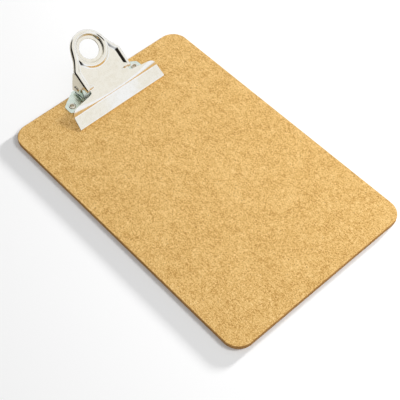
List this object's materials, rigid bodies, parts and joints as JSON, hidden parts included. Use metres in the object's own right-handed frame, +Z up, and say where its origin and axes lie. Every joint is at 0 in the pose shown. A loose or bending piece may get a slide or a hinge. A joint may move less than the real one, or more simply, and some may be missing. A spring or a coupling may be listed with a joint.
{
  "type": "clipboard",
  "caption": "Memo-size hardboard clipboard with a riveted, spring-loaded nickel-plated lever clip and a hanging ring.",
  "frame": {"origin": "centre of the board's underside, on the surface it lies on", "axes": "+X across the board, +Y along the board towards the clip, +Z up out of the board's writing face"},
  "size_m": [0.1524, 0.2443, 0.0416],
  "materials": {
    "hardboard": "smooth pressed fibre, matt with a faint sheen",
    "nickel_plated_steel": "bright nickel plate",
    "zinc_plated_steel": "satin zinc plate with a pale green-grey tint",
    "spring_steel": "oiled dark spring wire",
    "rivet_steel": "bright nickel plate"
  },
  "bodies": {
    "board": {"board": "hardboard", "base_plate": "zinc_plated_steel", "rivet_left": "rivet_steel", "rivet_right": "rivet_steel", "torsion_spring": "spring_steel"},
    "lever": {"lever": "nickel_plated_steel", "hinge_pin": "nickel_plated_steel"}
  },
  "joints": [
    {"name": "lever_hinge", "type": "hinge", "parent": "board", "child": "lever", "pos_m": [0, 0.1104, 0.0109], "axis": [-1, 0, 0], "range_deg": [0, 30], "stiffness_Nm_per_rad": 0.3, "springref_deg": -57.3, "deforming": ["torsion_spring"]}
  ]
}
